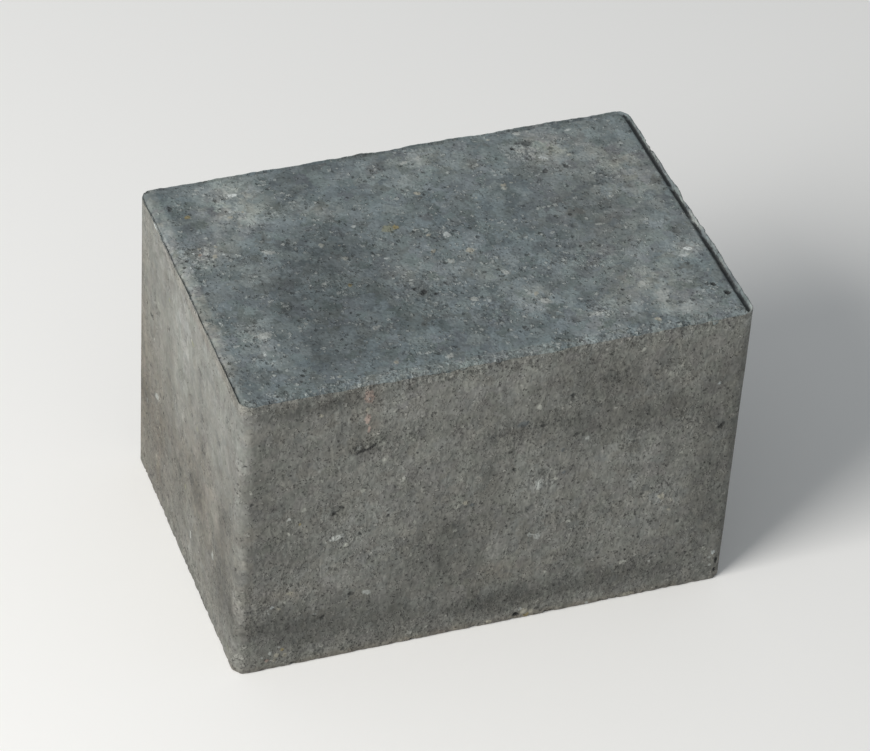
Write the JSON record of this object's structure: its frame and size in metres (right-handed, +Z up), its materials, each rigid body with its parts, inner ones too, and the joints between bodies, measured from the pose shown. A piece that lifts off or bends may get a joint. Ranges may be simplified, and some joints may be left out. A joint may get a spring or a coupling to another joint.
{
  "type": "concrete paving stone",
  "caption": "Rectangular pressed concrete paving stone with a finely bevelled wearing face, a thin ragged flash fin around it and a flat bed.",
  "frame": {"origin": "middle of the bed face, which lies on the ground", "axes": "+X along the stone's length, +Y across its width, away from the long side that faces the viewer in the picture, +Z up through the wearing face"},
  "size_m": [0.21, 0.14, 0.1412],
  "materials": {
    "concrete": "matte"
  },
  "bodies": {
    "root": {"paving_stone": "concrete"}
  },
  "joints": []
}
